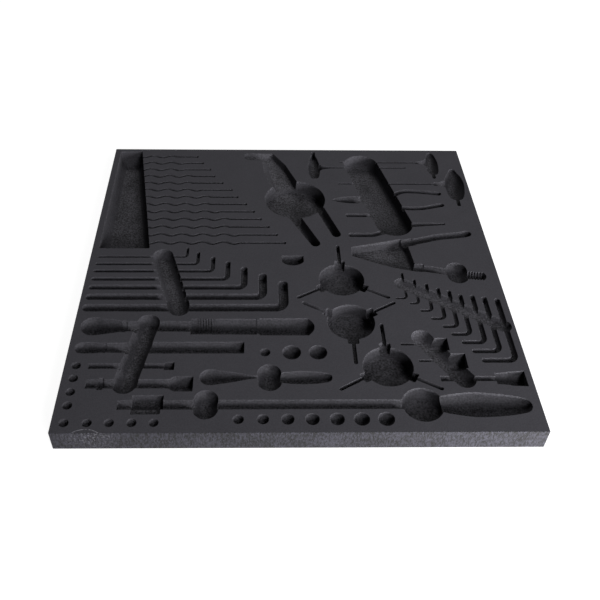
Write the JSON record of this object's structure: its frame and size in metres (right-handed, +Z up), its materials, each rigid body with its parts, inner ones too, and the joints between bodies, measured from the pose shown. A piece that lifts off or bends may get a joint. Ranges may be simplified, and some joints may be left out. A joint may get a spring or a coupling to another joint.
{
  "type": "tool drawer tray",
  "caption": "Square black foam drawer insert with milled beds for keys, ratchets, drivers, pliers, snips and pullers, an open drill rack and rounded finger recesses.",
  "frame": {"origin": "centre of the underside, where the tray lies on the drawer floor", "axes": "+X to the right, +Y to the back of the drawer, +Z up out of the beds"},
  "size_m": [0.57, 0.57, 0.03],
  "materials": {
    "foam": "matt closed-cell polyethylene foam, charcoal black"
  },
  "bodies": {
    "root": {"pocket_layer": "foam", "base_layer": "foam"}
  },
  "joints": []
}
